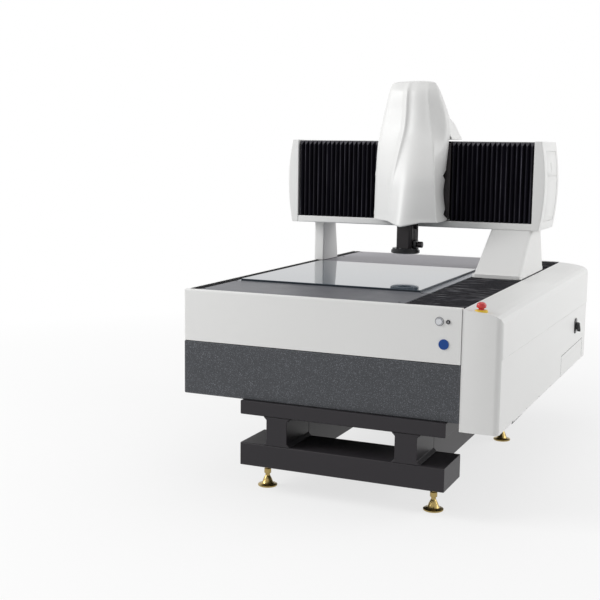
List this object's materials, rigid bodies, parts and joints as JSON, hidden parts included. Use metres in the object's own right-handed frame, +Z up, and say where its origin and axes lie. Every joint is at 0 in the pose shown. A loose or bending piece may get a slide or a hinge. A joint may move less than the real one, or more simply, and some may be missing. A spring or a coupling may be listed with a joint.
{
  "type": "vision measuring machine",
  "caption": "Gantry vision measuring machine: granite base on a steel stand, glass stage, travelling bridge and an upright optical head with ring light.",
  "frame": {"origin": "floor level under the middle of the whole machine, feet resting on the floor", "axes": "+X to the right along the front, +Y from the front towards the rear, +Z up"},
  "size_m": [1.6304, 2.237, 1.966],
  "materials": {
    "stand_black": "satin paint",
    "foot_brass": "turned, lightly tarnished",
    "granite_dark": "ground granite with fine flecks",
    "cover_white": "fine satin powder coat",
    "side_cover_white": "satin moulded shell",
    "deck_grey": "satin grey plate",
    "deck_strip": "satin anodised",
    "riser_grey": "painted casting",
    "stage_glass": "polished plate glass",
    "rail_steel": "ground steel",
    "track_metal": "nickel plated",
    "bellows_black": "coated fabric folds",
    "estop_yellow": "moulded",
    "estop_red": "moulded, slight gloss",
    "button_steel": "bright metal",
    "control_black": "moulded",
    "indicator_blue": "moulded lens",
    "switch_grey": "moulded",
    "leg_white": "cast, satin powder coat",
    "beam_metal": "machined",
    "head_white": "satin moulded shell",
    "anodised_black": "black anodised",
    "diffuser_white": "translucent diffuser"
  },
  "bodies": {
    "base": {"stand_lower_beams": "stand_black", "stand_upper_beams": "stand_black", "stand_uprights": "stand_black", "stand_side_girders": "stand_black", "levelling_feet": "foot_brass", "foot_lock_nuts": "foot_brass", "granite_base": "granite_dark", "front_cover": "cover_white", "rear_cover": "cover_white", "left_side_cover": "cover_white", "right_side_cover": "side_cover_white", "service_panel": "side_cover_white", "deck_front_plate": "deck_grey", "deck_rear_plate": "deck_grey", "deck_side_strips": "deck_strip", "stage_risers": "riser_grey", "stage_side_beams": "riser_grey", "stage_glass": "stage_glass", "y_rails": "rail_steel", "y_motor_track": "track_metal", "y_bellows_front": "bellows_black", "y_bellows_rear": "bellows_black", "estop_base": "estop_yellow", "button_bezel": "button_steel", "indicator_disc": "indicator_blue", "main_switch_plate": "switch_grey", "power_inlet": "control_black"},
    "gantry": {"right_leg": "leg_white", "right_shoe": "beam_metal", "left_leg": "leg_white", "left_shoe": "beam_metal", "y_rail_blocks": "rail_steel", "backlight_bar": "beam_metal", "beam_bottom_plate": "leg_white", "cross_beam": "beam_metal", "beam_cover": "cover_white", "end_cap_right": "head_white", "end_cap_left": "head_white", "end_cap_panels": "head_white", "x_rails": "rail_steel", "x_motor_track": "track_metal", "x_bellows_left": "bellows_black", "x_bellows_right": "bellows_black"},
    "head": {"carriage_plate": "beam_metal", "x_rail_blocks": "rail_steel", "head_cover": "head_white", "saddle_cover": "head_white", "z_rails": "rail_steel", "z_motor": "beam_metal"},
    "z_slide": {"z_plate": "beam_metal", "optics_column": "anodised_black", "zoom_lens": "anodised_black", "camera_body": "anodised_black", "ring_light": "anodised_black", "ring_diffuser": "diffuser_white", "side_light": "anodised_black"},
    "estop": {"estop_button": "estop_red"},
    "start_push": {"start_button": "button_steel"},
    "key_barrel": {"key_switch": "control_black"},
    "main_switch": {"main_switch_handle": "control_black"}
  },
  "joints": [
    {"name": "gantry_travel", "type": "slide", "parent": "base", "child": "gantry", "axis": [0, 1, 0], "range_m": [-0.816, 0.044], "deforming": ["y_bellows_front", "y_bellows_rear"]},
    {"name": "head_travel", "type": "slide", "parent": "gantry", "child": "head", "axis": [1, 0, 0], "range_m": [-0.385, 0.325], "deforming": ["x_bellows_left", "x_bellows_right"]},
    {"name": "z_travel", "type": "slide", "parent": "head", "child": "z_slide", "axis": [0, 0, 1], "range_m": [-0.07, 0.08]},
    {"name": "estop_push", "type": "slide", "parent": "base", "child": "estop", "axis": [0, 0, -1], "range_m": [0, 0.006]},
    {"name": "start_press", "type": "slide", "parent": "base", "child": "start_push", "axis": [0, 1, 0], "range_m": [0, 0.004], "stiffness_N_per_m": 500},
    {"name": "key_turn", "type": "hinge", "parent": "base", "child": "key_barrel", "pos_m": [0.55785, -1.0965, 0.87], "axis": [0, 1, 0], "range_deg": [0, 90]},
    {"name": "main_switch_turn", "type": "hinge", "parent": "base", "child": "main_switch", "pos_m": [0.79385, 0.7375, 0.605], "axis": [1, 0, 0], "range_deg": [-40, 50]}
  ]
}
